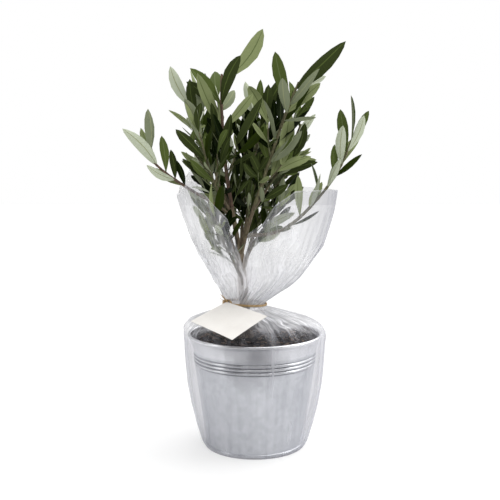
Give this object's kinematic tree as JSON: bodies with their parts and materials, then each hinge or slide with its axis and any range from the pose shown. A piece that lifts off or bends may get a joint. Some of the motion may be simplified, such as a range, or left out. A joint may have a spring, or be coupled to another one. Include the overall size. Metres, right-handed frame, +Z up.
{
  "type": "potted olive tree",
  "caption": "Young olive tree with several thin leaning stems of narrow grey-green leaves, in a tapered zinc pot wrapped in clear film that a raffia tie gathers round the trunk.",
  "frame": {"origin": "centre of the flat underside, on the pot's axis", "axes": "+Z up the pot's axis, -Y towards the front where the card lies, +X to the right seen from the front"},
  "size_m": [0.2266, 0.1634, 0.3915],
  "materials": {
    "zinc": "satin galvanised sheet",
    "soil": "matt crumbly compost",
    "film": "clear crinkled film",
    "raffia": "dry fibrous strand",
    "card": "matt bare card",
    "bark": "fine ridged bark",
    "foliage": "waxy leaf, silvery beneath"
  },
  "bodies": {
    "root": {"pot": "zinc", "soil": "soil", "film_skirt": "film", "film_flare": "film", "raffia_tie": "raffia", "gift_card": "card", "trunk": "bark", "bough_left_leader": "bark", "bough_right_leader": "bark", "bough_left_arm": "bark", "bough_right_arm": "bark", "bough_upper_left": "bark", "bough_inner_left": "bark", "bough_centre": "bark", "bough_inner_right": "bark", "bough_low_left": "bark", "bough_low_right": "bark", "bough_back_left": "bark", "bough_back_right": "bark", "bough_back_centre": "bark", "leaves_left_leader": "foliage", "leaves_right_leader": "foliage", "leaves_left_arm": "foliage", "leaves_right_arm": "foliage", "leaves_upper_left": "foliage", "leaves_inner_left": "foliage", "leaves_centre": "foliage", "leaves_inner_right": "foliage", "leaves_low_left": "foliage", "leaves_low_right": "foliage", "leaves_back_left": "foliage", "leaves_back_right": "foliage", "leaves_back_centre": "foliage"}
  },
  "joints": []
}
